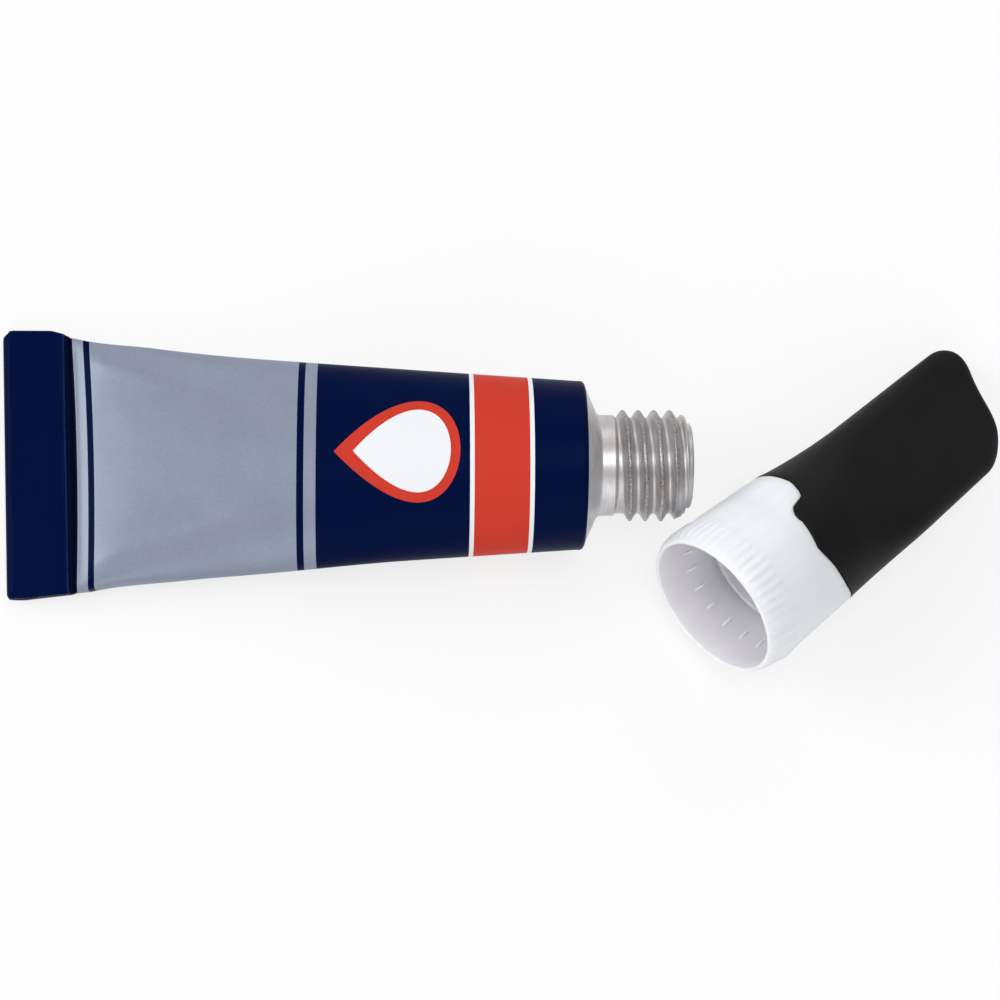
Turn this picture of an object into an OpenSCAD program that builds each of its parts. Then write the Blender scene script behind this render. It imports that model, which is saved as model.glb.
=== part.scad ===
// Super glue tube: a collapsible aluminium tube with a threaded neck, lying flat on a table, and its white
// dispensing nozzle with a black cap, taken off and lying beside the neck.
// Millimetres, +Z up, +X from the folded end towards the neck. The origin is on the table, under the middle
// of the two pieces as they lie.

/* [Tube sleeve] */
// Outer diameter of the round end of the sleeve
tube_d = 13.5; // [12:0.5:16]
// Length of the sleeve, from the folded end to the shoulder
sleeve_l = 45.8; // [40:0.1:60]
// Thickness of the sleeve's wall
sleeve_wall = 0.2; // [0.15:0.05:0.3]
// Straight rim of the sleeve at the shoulder
rim_l = 0.6; // [0.4:0.1:1]
// Axial height of the cone between the sleeve and the neck
shoulder_h = 1.15; // [0.8:0.05:1.6]
// Thickness of the metal in the shoulder
shoulder_wall = 0.45; // [0.35:0.05:0.6]

/* [Folded end] */
// Length of the folded band
fold_l = 5.9; // [5:0.1:7]
// How much wider than the flattened sleeve the pressed band is
fold_spread = 0.5; // [0:0.1:1]
// Thickness of the folded band
fold_t = 1.2; // [1:0.1:1.5]
// Length of the outer flap of the fold, over which the band keeps its full width
flap_l = 5; // [4:0.1:5]
// Height of the flap above the band
flap_t = 0.25; // [0.2:0.05:0.4]
// Gap between the two walls in the fold, filled by the seal
seam_gap = 0.2; // [0.15:0.01:0.25]
// Depth of the seal strip along the tube
seal_l = 3; // [2:0.1:4]

/* [Neck] */
// How much smaller than the thread the plain part of the neck is, on the radius
neck_step = 0.42; // [0.25:0.01:0.5]
// Length of the plain part of the neck
neck_plain_l = 1.35; // [1.2:0.05:2]
// Length of the threaded part of the neck
neck_thread_l = 5.7; // [4.5:0.1:6.5]
// How much smaller than the thread's root the end lip is, on the radius
lip_step = 0.43; // [0.2:0.01:0.5]
// Length of the end lip
lip_l = 0.4; // [0.3:0.05:0.8]
// Edge bevel of the end lip
lip_bevel = 0.15; // [0.1:0.05:0.25]
// Thickness of the metal between the thread's root and the bore
neck_wall = 1.23; // [1:0.01:1.4]
// Depth of the recess for the membrane at the neck's mouth
recess_l = 0.5; // [0.4:0.05:0.8]
// Width of the ledge that the membrane lies on
recess_ledge = 0.35; // [0.3:0.05:0.4]

/* [Neck thread] */
// Outer diameter of the thread
thread_d = 8.9; // [8.4:0.1:9.4]
// Depth of the thread
thread_depth = 0.62; // [0.5:0.02:0.7]
// Advance of the thread in one turn
thread_pitch = 1.25; // [1.2:0.05:1.5]
// Width of the thread's ridge at its crest
thread_crest_w = 0.32; // [0.2:0.02:0.4]
// Width of the thread's ridge at its root
thread_root_w = 1; // [0.9:0.02:1.05]

/* [Membrane] */
// Thickness of the foil across the neck
foil_t = 0.15; // [0.1:0.01:0.2]
// Diameter of the pierced hole as a share of the neck's bore
pierce_share = 0.65; // [0.6:0.01:0.75]

/* [Adhesive] */
// Clearance between the liquid and the metal
liquid_gap = 0.02; // [0.02:0.01:0.1]
// Height of the liquid's surface above the table
liquid_z = 4.2; // [3:0.1:4.2]

/* [Nozzle socket] */
// Clearance between the neck's thread and the socket's thread, on the radius
thread_gap = 0.12; // [0.08:0.01:0.14]
// Clearance between the flanks of the two threads, along the axis
flank_gap = 0.09; // [0.06:0.01:0.1]
// Thickness of the socket's wall
socket_wall = 0.43; // [0.4:0.01:0.6]
// Length of the socket
socket_l = 4; // [3.4:0.1:4.4]
// Room between the neck's end and the socket's floor
floor_room = 0.8; // [0.6:0.1:1]
// Number of ribs between the socket and the collar
brace_count = 24; // [12:2:30]
// Width of a rib between the socket and the collar
brace_w = 0.35; // [0.25:0.05:0.5]
// How far the ribs run past the socket towards the mouth
brace_lead = 0.6; // [0.3:0.1:1]
// Length of the piercing spike
spike_l = 2.9; // [2:0.1:3]
// Room between the spike's foot and the pierced hole, on the radius
spike_room = 0.3; // [0.2:0.05:0.4]
// Diameter of the spike at its point as a share of that at its foot
spike_tip_share = 0.57; // [0.5:0.01:0.7]

/* [Nozzle collar] */
// Width of the groove round the socket
groove_w = 0.5; // [0.45:0.05:0.7]
// Distance from the bottom of the groove to the socket's floor
groove_lift = 1.8; // [1.6:0.1:2]
// How much wider the mouth is than the groove, on the radius
mouth_flare = 0.35; // [0.25:0.05:0.5]
// Thickness of the mouth's edge
mouth_wall = 0.3; // [0.25:0.05:0.5]
// How far the collar bulges past the mouth's edge, on the radius
collar_bulge = 0.23; // [0.15:0.01:0.3]
// Distance from the mouth to the widest place
collar_belly_z = 1.4; // [1.2:0.1:2.4]
// Number of grip ribs round the mouth
grip_count = 56; // [36:4:64]
// Distance from the mouth to the grip ribs
grip_z = 0.4; // [0.3:0.1:0.6]
// Length of the grip ribs
grip_l = 2.6; // [2:0.1:3.2]
// Width of a grip rib
grip_w = 0.34; // [0.25:0.01:0.4]
// Height of a grip rib above the collar
grip_h = 0.12; // [0.08:0.01:0.2]

/* [Nozzle tip] */
// Thickness of the wall between the socket's bore and the spigot that the cap fits over
spigot_wall = 0.53; // [0.45:0.01:0.6]
// Length of the spigot above the skirt's high edge
spigot_l = 1; // [0.8:0.1:1.4]
// Diameter at the foot of the dispensing tip
tip_root_d = 5.6; // [4.8:0.1:6.4]
// Diameter at the end of the dispensing tip
tip_end_d = 2.2; // [2:0.1:2.6]
// Length of the dispensing tip above the spigot
tip_l = 12.4; // [10:0.1:13]
// Diameter of the channel for the glue
channel_d = 0.9; // [0.8:0.05:1]

/* [Cap] */
// Thickness of the skirt
skirt_wall = 0.9; // [0.8:0.05:1]
// Thickness of the collar between the groove and the tongues of the skirt
tongue_floor = 1; // [0.8:0.1:1.2]
// How far the skirt's tongues reach down below the high part of its edge
tongue_drop = 2.6; // [2:0.1:2.8]
// Angle of the steep side of a tongue, from the cap's broad face
tongue_turn = 31; // [20:1:40]
// Length of the solid end of the cap, above its roof
blade_l = 8.8; // [6:0.05:12]
// Width of the blade at the cap's end
blade_w = 10.5; // [10:0.1:11.6]
// Thickness of the blade at the cap's end
blade_t = 2.2; // [2:0.1:4]
// How much shorter the near edge of the blade is than its far edge
blade_slant = 0.95; // [0:0.05:1.2]
// Radius of the blade's far end corner
far_corner_r = 2; // [1.5:0.1:2.5]
// Radius of the blade's near end corner
near_corner_r = 3; // [1.5:0.1:3.4]
// Rounding of the blade's long edges
blade_edge_r = 0.8; // [0.5:0.1:0.9]
// Clearance between the cap and the nozzle's spigot, on the radius
cap_gap = 0.08; // [0.05:0.01:0.1]
// Gap between the skirt's edge and the collar
parting_gap = 0.1; // [0.08:0.01:0.16]
// Room between the dispensing tip and the cap
tip_room = 0.5; // [0.4:0.1:0.6]
// Room between the end of the dispensing tip and the cap's roof
roof_room = 1; // [0.6:0.1:1.6]

/* [Clog pin] */
// Diameter of the pin
pin_d = 0.6; // [0.5:0.05:0.65]
// Length of the pin in the cap's roof
pin_seat_l = 2; // [1.5:0.1:2.5]
// Length of the pin in the tip's channel
pin_reach_l = 2.5; // [1.5:0.1:4]
// Clearance between the pin and its seat, on the radius
pin_gap = 0.01; // [0.01:0.01:0.02]

/* [Layout] */
// Angle of the cap's axis from the tube's axis on the table
cap_yaw = 38; // [30:0.1:42]
// How far the middle of the mouth lies past the neck's end, along the tube
mouth_dx = 1.5; // [1:0.1:6]
// Gap between the neck's thread and the near side of the mouth, across the tube
side_gap = 2.15; // [1.7:0.05:4]
// Angle about the neck's axis at which the nozzle ends up when it is screwed on
nozzle_roll = 6.17; // [-180:0.01:180]
// How far the mouth stands off the sleeve's end when the nozzle is screwed on
seat_gap = 0.8; // [0.5:0.1:1]

/* [Hidden] */
$fn = 96;

// Overrun of every cut past the face that it opens
over = 0.3;
// How deep a ridge is sunk into the wall that carries it
sink = 0.1;
// Step between two solids whose round faces would otherwise coincide
step = 0.03;
// Number of corners in a ring of the sleeve
ring_n = 48;
// Number of rings along the sleeve
ring_count = 16;
// Number of sections in one turn of a thread
turn_n = 36;
// Number of sections round the skirt's edge
edge_n = 72;
// Number of corners in the blade's round ends
blade_n = 32;

// Heights along the tube, from its folded end
tube_r = tube_d / 2;
fold_w = PI * tube_d / 2 + fold_spread;
rim_z = sleeve_l - rim_l;
neck_z = sleeve_l + shoulder_h;
thread_z = neck_z + neck_plain_l;
lip_z = thread_z + neck_thread_l;
neck_end_z = lip_z + lip_l;
hollow_z = fold_l + sleeve_wall;

// Diameters of the neck
neck_d = thread_d - 2 * neck_step;
thread_root_d = thread_d - 2 * thread_depth;
lip_d = thread_root_d - 2 * lip_step;
bore_d = thread_root_d - 2 * neck_wall;
recess_d = bore_d + 2 * recess_ledge;
pierce_d = bore_d * pierce_share;

// Diameters of the nozzle, from the socket outwards
socket_bore_d = thread_d + 2 * thread_gap;
socket_d = socket_bore_d + 2 * socket_wall;
groove_d = socket_d + 2 * groove_w;
mouth_bore_d = groove_d + 2 * mouth_flare;
mouth_d = mouth_bore_d + 2 * mouth_wall;
collar_d = mouth_d + 2 * collar_bulge;
grip_d = collar_d + 2 * grip_h;
spike_d = pierce_d - 2 * spike_room;
spike_tip_d = spike_d * spike_tip_share;
spigot_d = socket_bore_d + 2 * spigot_wall;
collar_top_d = spigot_d + 2 * skirt_wall;

// Heights along the nozzle and the cap, from the mouth
floor_z = neck_end_z - sleeve_l - seat_gap + floor_room;
socket_z = floor_z - socket_l;
groove_z = floor_z - groove_lift;
skirt_low_z = groove_z + tongue_floor;
skirt_high_z = skirt_low_z + tongue_drop;
spigot_end_z = skirt_high_z + spigot_l;
tip_end_z = spigot_end_z + tip_l;
roof_z = tip_end_z + roof_room;
cap_end_z = roof_z + blade_l;

// How the tube lies: on the edge of its fold and on the rim of its shoulder
fold_r = fold_t / 2;
tube_pitch = atan2(tube_r, sleeve_l - fold_r) - asin(fold_r / norm([sleeve_l - fold_r, tube_r]));
tube_z = fold_r * (1 - sin(tube_pitch));

// How the nozzle and the cap lie: on the cap's broad face
cap_pitch = atan2(collar_top_d / 2 - blade_t / 2, cap_end_z - skirt_high_z);
mouth_x = neck_end_z * cos(tube_pitch) + mouth_dx;
mouth_dy = thread_d / 2 + side_gap + mouth_d / 2 * cos(cap_yaw);
mouth_z = collar_top_d / 2 * cos(cap_pitch) + skirt_high_z * sin(cap_pitch);

// Middles of the two round corners at the blade's end: side, height and radius
far_corner = [blade_w / 2 - far_corner_r, cap_end_z - far_corner_r, far_corner_r];
near_corner = [near_corner_r - blade_w / 2, cap_end_z - blade_slant - near_corner_r, near_corner_r];

// How far the two pieces reach on the table, for the origin in their middle
function corner_x(c) = mouth_x + c[1] * cos(cap_pitch) * cos(cap_yaw) - c[0] * sin(cap_yaw) + c[2];
function corner_y(c) = c[1] * cos(cap_pitch) * sin(cap_yaw) + c[0] * cos(cap_yaw) + c[2] - mouth_dy;
reach_x = max(corner_x(far_corner), corner_x(near_corner));
reach_back = max(corner_y(far_corner), fold_w / 2);
reach_front = mouth_dy + mouth_d / 2 * norm([cos(cap_yaw), sin(cap_pitch) * sin(cap_yaw)]);
origin_x = reach_x / 2;
origin_y = (reach_back - reach_front) / 2;

// Shares that shape the sleeve between the fold and the shoulder
taper_share = 0.72;
flare_share = 1 - taper_share;
flare_power = 11;
belly_power = 0.62;
ring_power = 1.3;

// Part of the way from the shoulder's rim to the flap of the fold, 0 to 1
function narrow_way(z) = max(0, min(1, (rim_z - z) / (rim_z - flap_l)));
// Half width of the sleeve at height z
function half_w(z) =
    let (way = narrow_way(z))
    tube_r + (fold_w / 2 - tube_r) * (taper_share * way + flare_share * pow(way, flare_power));
// Part of the way from the fold's edge to the shoulder's rim, 0 to 1
function open_way(z) = max(0, min(1, (z - fold_l) / (rim_z - fold_l)));
// Half thickness of the sleeve at height z, rounder on top than underneath, where it lies on the table
function half_t(z, power) = fold_r + (tube_r - fold_r) * pow(open_way(z), power);

// One ring of the sleeve at height z, drawn in by inset
function sleeve_ring(z, inset) = [
    for (i = [0 : ring_n - 1])
        let (a = 360 * i / ring_n, power = sin(a) > 0 ? belly_power : 1)
        [(half_w(z) - inset) * cos(a), (half_t(z, power) - inset) * sin(a), z]
];

// Triangles of the skin from ring k to the next ring, both with n points
function band(k, next, n) = [
    for (i = [0 : n - 1])
        let (j = (i + 1) % n)
        each [[k * n + i, next * n + i, next * n + j], [k * n + i, next * n + j, k * n + j]]
];

// Solid through a row of rings with n points each, closed by its first and its last ring
module stack(rings, n) {
    last = len(rings) - 1;
    skin = [for (k = [0 : last - 1]) each band(k, k + 1, n)];
    start = [for (i = [1 : n - 2]) [0, i, i + 1]];
    end = [for (i = [1 : n - 2]) [last * n, last * n + i + 1, last * n + i]];
    polyhedron([for (ring = rings) each ring], concat(skin, start, end), convexity = 6);
}

// Solid through a row of rings with n points each that runs back into itself
module loop(rings, n) {
    count = len(rings);
    skin = [for (k = [0 : count - 1]) each band(k, (k + 1) % count, n)];
    polyhedron([for (ring = rings) each ring], skin, convexity = 6);
}

// Sleeve as a solid from height z0 to z1, drawn in by inset
module sleeve_solid(z0, z1, inset) {
    stack([
        for (k = [0 : ring_count])
            sleeve_ring(z0 + (z1 - z0) * pow(k / ring_count, ring_power), inset)
    ], ring_n);
}

// Ridge of a thread wound round the axis, fading in and out over a quarter turn
module thread_ridge(z0, turns, phase, r_foot, r_crest, w_foot, w_crest) {
    count = ceil(turns * turn_n);
    fade_n = turn_n / 4;
    least_share = 0.1;
    side = r_crest > r_foot ? 1 : -1;
    stack([
        for (k = [0 : count])
            let (
                a = phase + 360 * k / turn_n,
                z = z0 + thread_pitch * k / turn_n,
                share = max(least_share, min(1, k / fade_n, (count - k) / fade_n)),
                r = r_foot + (r_crest - r_foot) * share,
                w = w_foot + (w_crest - w_foot) * share
            )
            [
                for (p = [[r_foot, w_foot / 2], [r, w / 2], [r, -w / 2], [r_foot, -w_foot / 2]])
                    [p[0] * cos(a), p[0] * sin(a), z + side * p[1]]
            ]
    ], 4);
}

// Width of the ridge on the neck at radius r, and of the ridge in the socket, which runs between its turns
function neck_ridge_w(r) =
    let (share = (2 * r - thread_root_d) / (thread_d - thread_root_d))
    thread_root_w + (thread_crest_w - thread_root_w) * share;
function socket_ridge_w(r) = thread_pitch - neck_ridge_w(r) - 2 * flank_gap;

// Middle of the ridge on the neck where it starts, half sunk in the plain part, and the angle of that place
neck_ridge_z = thread_z + thread_root_w / 4;
neck_ridge_turn = 24;

module neck_thread() {
    foot_r = thread_root_d / 2 - sink;
    foot_w = neck_ridge_w(foot_r);
    turns = (lip_z - sink - foot_w / 2 - neck_ridge_z) / thread_pitch;
    thread_ridge(neck_ridge_z, turns, neck_ridge_turn, foot_r, thread_d / 2, foot_w, thread_crest_w);
}

module socket_thread() {
    foot_r = socket_bore_d / 2 + sink;
    crest_r = thread_root_d / 2 + thread_gap;
    foot_w = socket_ridge_w(foot_r);
    start_z = socket_z + foot_w / 2;
    turns = (floor_z - socket_z - foot_w) / thread_pitch;
    between_z = neck_ridge_z + thread_pitch / 2 - sleeve_l - seat_gap;
    phase = 360 * (start_z - between_z) / thread_pitch + neck_ridge_turn - nozzle_roll;
    thread_ridge(start_z, turns, phase, foot_r, crest_r, foot_w, socket_ridge_w(crest_r));
}

// Shoulder, neck and lip as one turned solid
module turned_end() {
    rotate_extrude()
        polygon([
            [0, rim_z],
            [tube_r, rim_z],
            [tube_r, sleeve_l],
            [neck_d / 2, neck_z],
            [neck_d / 2, thread_z],
            [thread_root_d / 2, thread_z],
            [thread_root_d / 2, lip_z],
            [lip_d / 2, lip_z],
            [lip_d / 2, neck_end_z - lip_bevel],
            [lip_d / 2 - lip_bevel, neck_end_z],
            [0, neck_end_z],
        ]);
}

// Hollow of the shoulder, the bore and the recess at the neck's mouth
module turned_hollow() {
    inner_r = tube_r - sleeve_wall - step;
    rotate_extrude()
        polygon([
            [0, rim_z - over],
            [inner_r, rim_z - over],
            [inner_r, sleeve_l - shoulder_wall],
            [bore_d / 2, neck_z - shoulder_wall],
            [bore_d / 2, neck_end_z - recess_l],
            [recess_d / 2, neck_end_z - recess_l],
            [recess_d / 2, neck_end_z + over],
            [0, neck_end_z + over],
        ]);
}

// Folded band with its round edge, and the flap on its upper side
module fold_band() {
    translate([-fold_w / 2, -fold_r, fold_r])
        cube([fold_w, fold_t, flap_l - fold_r]);
    translate([-fold_w / 2, 0, fold_r])
        rotate([0, 90, 0])
            cylinder(r = fold_r, h = fold_w);
    translate([-fold_w / 2, 0, fold_r])
        cube([fold_w, fold_r + flap_t, flap_l - fold_r]);
}

// Space between the two walls in the fold
module seam(z0, z1, width) {
    translate([-width / 2, -seam_gap / 2, z0])
        cube([width, seam_gap, z1 - z0]);
}

seam_z = hollow_z - seal_l;
seam_w = fold_w - 2 * fold_t;

module tube() {
    color("navy")
        lay_tube()
            difference() {
                union() {
                    sleeve_solid(flap_l - over, rim_z + over, step);
                    fold_band();
                    turned_end();
                    neck_thread();
                }
                sleeve_solid(hollow_z, rim_z, sleeve_wall);
                turned_hollow();
                seam(seam_z, hollow_z + over, seam_w);
            }
}

module neck_membrane() {
    color("silver")
        lay_tube()
            translate([0, 0, neck_end_z - recess_l])
                difference() {
                    cylinder(d = recess_d - 2 * step, h = foil_t);
                    translate([0, 0, -over])
                        cylinder(d = pierce_d, h = foil_t + 2 * over);
                }
}

module fold_seal() {
    color("tan")
        lay_tube()
            seam(seam_z, hollow_z, seam_w);
}

module adhesive() {
    inset = sleeve_wall + liquid_gap;
    color("lightcyan")
        intersection() {
            lay_tube()
                sleeve_solid(hollow_z + over, rim_z - over, inset);
            translate([-reach_x, -reach_x, -over])
                cube([2 * reach_x, 2 * reach_x, liquid_z + over]);
        }
}

// Outer radius of the collar and of the cap's skirt at height z
function collar_r(z) =
    (collar_d + (collar_top_d - collar_d) * (z - collar_belly_z) / (skirt_high_z - collar_belly_z)) / 2;

// Edge between the collar and the skirt: tongues, each with a steep side, a low part and a long slope
tongue_count = 3;
tongue_steep = 5;
tongue_low = 30;
tongue_slope = 80;
function tongue_share(a) =
    a < tongue_steep ? a / tongue_steep :
    a < tongue_steep + tongue_low ? 1 :
    max(0, 1 - (a - tongue_steep - tongue_low) / tongue_slope);
// Height of that edge at an angle round the axis
function edge_z(angle) =
    skirt_high_z - tongue_drop * tongue_share((angle - 90 + tongue_turn + 360) % (360 / tongue_count));

// Radius beyond which a cut along that edge has left every piece
edge_r = max(grip_d, collar_top_d) / 2 + over;

// Ring between the height z_far and the skirt's edge, moved by shift along the axis
module edge_ring(r_in, r_out, z_far, shift) {
    up = z_far > skirt_high_z;
    loop([
        for (k = [0 : edge_n - 1])
            let (
                a = 360 * k / edge_n,
                z = edge_z(a) + shift,
                low = up ? z : z_far,
                high = up ? z_far : z
            )
            [
                for (p = [[r_in, low], [r_in, high], [r_out, high], [r_out, low]])
                    [p[0] * cos(a), p[0] * sin(a), p[1]]
            ]
    ], 4);
}

// Outline with count teeth of width w between the radii r_in and r_out
function toothed(count, r_in, r_out, w) = [
    for (i = [0 : count - 1], p = [[r_in, -1], [r_out, -1], [r_out, 1], [r_in, 1]])
        let (a = 360 * i / count + p[1] * asin(w / 2 / p[0]))
        [p[0] * cos(a), p[0] * sin(a)]
];

// Collar with its grip ribs, cut along the skirt's edge
module collar() {
    cut_r = tip_root_d / 2;
    difference() {
        union() {
            rotate_extrude()
                polygon([
                    [0, 0],
                    [mouth_d / 2, 0],
                    [collar_d / 2, collar_belly_z],
                    [collar_top_d / 2, skirt_high_z],
                    [0, skirt_high_z],
                ]);
            translate([0, 0, grip_z])
                linear_extrude(height = grip_l)
                    polygon(toothed(grip_count, mouth_bore_d / 2 + sink, grip_d / 2, grip_w));
        }
        edge_ring(cut_r, edge_r, skirt_high_z + over, 0);
    }
}

// Spigot and dispensing tip
module spigot() {
    rotate_extrude()
        polygon([
            [0, groove_z],
            [spigot_d / 2, groove_z],
            [spigot_d / 2, spigot_end_z],
            [tip_root_d / 2, spigot_end_z],
            [tip_end_d / 2, tip_end_z],
            [0, tip_end_z],
        ]);
}

// Hollow of the collar, as far as the bottom of the groove
module collar_hollow() {
    rotate_extrude()
        polygon([
            [0, -over],
            [mouth_bore_d / 2, -over],
            [mouth_bore_d / 2, 0],
            [groove_d / 2, groove_z],
            [0, groove_z],
        ]);
}

// Socket with the ribs that brace it, not yet bored
module socket() {
    translate([0, 0, socket_z - brace_lead])
        linear_extrude(height = groove_z + sink - socket_z + brace_lead)
            polygon(toothed(brace_count, socket_d / 2, mouth_bore_d / 2, brace_w));
}

// Hollow of the socket round the spike, and the room in front of it between the ribs
module socket_hollow() {
    front_r = socket_d / 2 + sink;
    rotate_extrude()
        polygon([
            [0, -over],
            [front_r, -over],
            [front_r, socket_z],
            [socket_bore_d / 2, socket_z],
            [socket_bore_d / 2, floor_z],
            [spike_d / 2, floor_z],
            [spike_tip_d / 2, floor_z - spike_l],
            [0, floor_z - spike_l],
        ]);
}

module nozzle() {
    color("white")
        lay_cap()
            union() {
                difference() {
                    union() {
                        difference() {
                            union() {
                                collar();
                                spigot();
                            }
                            collar_hollow();
                        }
                        socket();
                    }
                    socket_hollow();
                    translate([0, 0, floor_z - spike_l - over])
                        cylinder(d = channel_d, h = tip_end_z - floor_z + spike_l + 2 * over);
                }
                socket_thread();
            }
}

// Outside of the cap above its skirt, from a round foot to a blade with round corners and edges
module cap_body() {
    round_steps = 3;
    hull() {
        translate([0, 0, skirt_high_z])
            cylinder(d = collar_top_d, h = step);
        for (corner = [far_corner, near_corner], k = [0 : round_steps])
            let (a = 90 * k / round_steps)
            translate([corner[0], 0, corner[1]])
                rotate([90, 0, 0])
                    cylinder(
                        r = corner[2] - blade_edge_r * (1 - cos(a)),
                        h = blade_t - 2 * blade_edge_r * (1 - sin(a)),
                        center = true,
                        $fn = blade_n
                    );
    }
}

// Skirt of the cap, with its tongues
module skirt() {
    top_z = skirt_high_z + over;
    difference() {
        rotate_extrude()
            polygon([
                [spigot_d / 2 - over, skirt_low_z - over],
                [collar_r(skirt_low_z - over), skirt_low_z - over],
                [collar_top_d / 2, skirt_high_z],
                [collar_top_d / 2 - over, top_z],
                [spigot_d / 2 - over, top_z],
            ]);
        edge_ring(tip_root_d / 2, edge_r, skirt_low_z - 2 * over, parting_gap);
    }
}

// Hollow of the cap, over the spigot and round the dispensing tip
module cap_hollow() {
    rotate_extrude()
        polygon([
            [0, skirt_low_z - over],
            [spigot_d / 2 + cap_gap, skirt_low_z - over],
            [spigot_d / 2 + cap_gap, spigot_end_z + parting_gap],
            [tip_root_d / 2 + tip_room, spigot_end_z + parting_gap],
            [tip_end_d / 2 + tip_room, tip_end_z],
            [tip_end_d / 2 + tip_room, roof_z],
            [0, roof_z],
        ]);
}

module cap() {
    color("#212121")
        lay_cap()
            difference() {
                union() {
                    cap_body();
                    skirt();
                }
                cap_hollow();
                translate([0, 0, roof_z - over])
                    cylinder(d = pin_d + 2 * pin_gap, h = pin_seat_l + over);
            }
}

module clog_pin() {
    color("silver")
        lay_cap()
            translate([0, 0, tip_end_z - pin_reach_l])
                cylinder(d = pin_d, h = pin_reach_l + roof_room + pin_seat_l);
}

// The tube as it lies on the table
module lay_tube() {
    translate([-origin_x, -origin_y, tube_z])
        rotate([0, -tube_pitch, 0])
            rotate([90, 0, 90])
                children();
}

// The nozzle and the cap as they lie on the table
module lay_cap() {
    translate([mouth_x - origin_x, -mouth_dy - origin_y, mouth_z])
        rotate([0, 0, cap_yaw])
            rotate([0, cap_pitch, 0])
                rotate([90, 0, 90])
                    children();
}

tube();
neck_membrane();
fold_seal();
adhesive();
nozzle();
cap();
clog_pin();
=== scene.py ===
# %% [markdown]
# # A tube of instant glue, with its nozzle and cap beside it
#
# The object is small: a soft aluminium tube 54 mm long, printed in navy and silver, with a bare threaded
# neck, and a white nozzle that sits in a black cap. The imported solids give every place and size. This
# lesson dresses them: it draws most pieces again as a fine, smooth mesh in the place of their solids, and
# gives each a finish.

# %% The imported solids
import math

import bpy
from mathutils import Matrix, Vector


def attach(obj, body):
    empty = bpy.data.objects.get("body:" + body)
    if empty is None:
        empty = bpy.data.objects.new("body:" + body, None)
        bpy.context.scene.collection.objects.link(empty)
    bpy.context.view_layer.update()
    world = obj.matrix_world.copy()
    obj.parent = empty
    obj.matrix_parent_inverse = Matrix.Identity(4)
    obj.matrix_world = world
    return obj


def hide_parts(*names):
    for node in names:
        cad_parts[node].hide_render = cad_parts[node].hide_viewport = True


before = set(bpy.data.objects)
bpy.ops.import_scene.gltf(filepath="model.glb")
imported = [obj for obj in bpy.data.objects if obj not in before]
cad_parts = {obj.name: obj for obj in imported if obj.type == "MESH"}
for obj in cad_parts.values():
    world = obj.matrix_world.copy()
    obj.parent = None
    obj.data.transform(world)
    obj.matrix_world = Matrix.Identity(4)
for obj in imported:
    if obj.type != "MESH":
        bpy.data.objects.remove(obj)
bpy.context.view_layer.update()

# %% [markdown]
# ## Sizes
#
# The pieces are drawn in millimetres, in two frames of their own. The tube's frame starts at the folded end
# and runs along the tube's axis, and the cap's frame starts in the middle of the nozzle's mouth. In both, x
# is across, y is up from the broad side, and z is along the axis. The two matrices put them on the table.
# Names in _Z are heights along an axis, and those in _R, _L, _T and _W are radii, lengths, thicknesses and
# widths.

# %% Sizes and frames
MM = 0.001
TUBE_R = 6.75
SLEEVE_L = 45.8
WALL = 0.2
RIM_Z = 45.2
FOLD_Z = 5.7
FLAP_Z = 4.98
FOLD_HALF_T = 0.6
FLAP_T = 0.25
FOLD_HALF_W = 10.85
NECK_Z = 46.95
THREAD_Z = 48.3
LIP_Z = 54.0
NECK_END_Z = 54.4
PITCH = 1.25
NECK_R = 4.03
ROOT_R = 3.83
CREST_R = 4.45
LIP_R = 3.4

TUBE_PITCH = math.radians(7.74133)
CAP_YAW = math.radians(38)
CAP_PITCH = math.radians(11.926)
TUBE_PLACE = Vector((-41.3248, 2.10277, 0.51918))
MOUTH_PLACE = Vector((14.0794, -9.34353, 8.01963))


def frame_matrix(x, y, z, place):
    """Matrix of a frame with these axes at a place in millimetres."""
    turn = Matrix((x, y, z)).transposed().to_4x4()
    return Matrix.Translation(place * MM) @ turn


def lying_axes(yaw, pitch):
    """Axes of a piece that lies along yaw and whose far end is lower by pitch."""
    flat = math.cos(pitch)
    along = Vector((flat * math.cos(yaw), flat * math.sin(yaw), -math.sin(pitch)))
    across = Vector((-math.sin(yaw), math.cos(yaw), 0))
    return across, along.cross(across), along


TUBE_FRAME = frame_matrix(*lying_axes(0, -TUBE_PITCH), TUBE_PLACE)
CAP_FRAME = frame_matrix(*lying_axes(CAP_YAW, CAP_PITCH), MOUTH_PLACE)
print("neck's mouth at", [round(v / MM, 1) for v in TUBE_FRAME @ Vector((0, 0, NECK_END_Z * MM))], "mm")

# %% [markdown]
# ## Finishes
#
# A material here is a small tree of nodes. One function adds a node, sets its values and links its inputs,
# and one turns a colour that is written as on screen into the linear light that the renderer works in.
# Patterns could be painted on images, but nodes stay sharp at any size and need no unwrapped mesh.

# %% Node and colour helpers


def linear(hex_colour):
    """Linear colour, with alpha, of an sRGB colour written as #rrggbb."""
    parts = [int(hex_colour[i:i + 2], 16) / 255 for i in (1, 3, 5)]
    return [p / 12.92 if p <= 0.04045 else ((p + 0.055) / 1.055) ** 2.4 for p in parts] + [1]


def node(tree, kind, sets=None, **links):
    """Adds a node, sets its properties and input values, and links sockets into the named inputs."""
    made = tree.nodes.new("ShaderNode" + kind)
    for key, value in (sets or {}).items():
        if isinstance(key, str) and hasattr(made, key):
            setattr(made, key, value)
        else:
            made.inputs[key].default_value = value
    for key, socket in links.items():
        by_number = key[0] == "i" and key[1:].isdigit()
        target = made.inputs[int(key[1:]) if by_number else key]
        tree.links.new(socket, target)
    return made


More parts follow.
